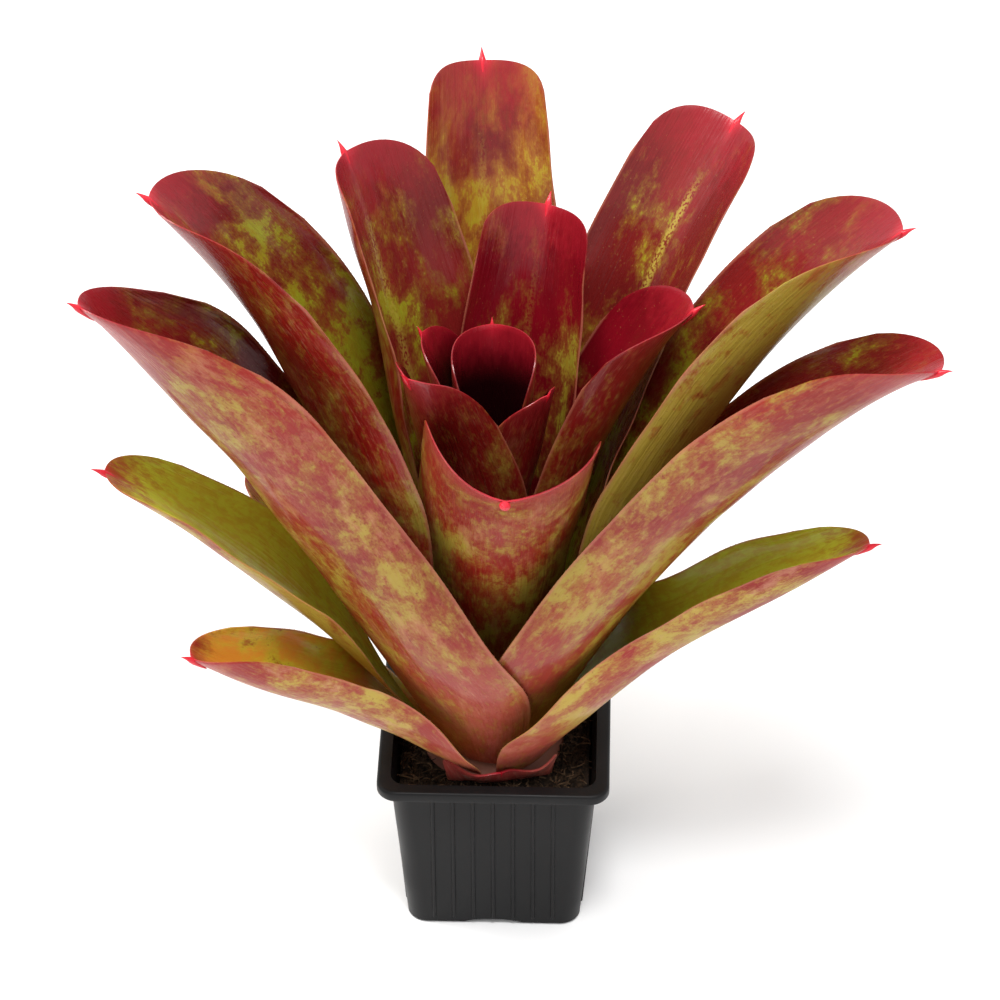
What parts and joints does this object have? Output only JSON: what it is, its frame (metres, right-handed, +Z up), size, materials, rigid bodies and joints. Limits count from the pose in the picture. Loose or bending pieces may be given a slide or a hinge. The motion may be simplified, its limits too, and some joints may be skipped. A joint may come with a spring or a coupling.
{
  "type": "potted neoregelia bromeliad",
  "caption": "A neoregelia bromeliad with a rosette of channelled maroon and olive mottled leaves, each with one red end spine, growing in a black square ribbed nursery pot filled with peat.",
  "frame": {"origin": "middle of the flat bottom of the pot", "axes": "+Z up; -Y to the pot side that faces the camera in the picture; +X to the right in that view"},
  "size_m": [0.3081, 0.2201, 0.3294],
  "materials": {
    "pot_plastic": "black moulded plastic with a dull sheen and fine upright ribs",
    "peat": "dark brown fibrous peat",
    "stem_tissue": "pale living stem, hidden by the leaf sheaths",
    "outer_leaf": "waxy leaf, lime to salmon mottling, red end",
    "middle_leaf": "waxy leaf, dull red and olive mottling, pale scurf outside",
    "heart_leaf": "glossy deep maroon leaf"
  },
  "bodies": {
    "root": {"pot": "pot_plastic", "soil": "peat", "stem": "stem_tissue", "leaf_back_left": "middle_leaf", "leaf_back_low_left": "outer_leaf", "leaf_back_low_right": "outer_leaf", "leaf_back_middle": "middle_leaf", "leaf_back_right": "middle_leaf", "leaf_front": "middle_leaf", "leaf_front_bract": "outer_leaf", "leaf_heart_cup": "heart_leaf", "leaf_heart_right": "heart_leaf", "leaf_inner_back": "heart_leaf", "leaf_inner_front_left": "heart_leaf", "leaf_inner_left": "heart_leaf", "leaf_inner_right": "heart_leaf", "leaf_mid_left": "middle_leaf", "leaf_mid_right": "middle_leaf", "leaf_outer_left": "outer_leaf", "leaf_outer_left_low": "outer_leaf", "leaf_outer_right_low": "outer_leaf", "leaf_top_back": "middle_leaf", "leaf_top_left": "middle_leaf", "leaf_top_right": "middle_leaf", "leaf_upper_left": "middle_leaf", "leaf_upper_right": "middle_leaf"}
  },
  "joints": []
}
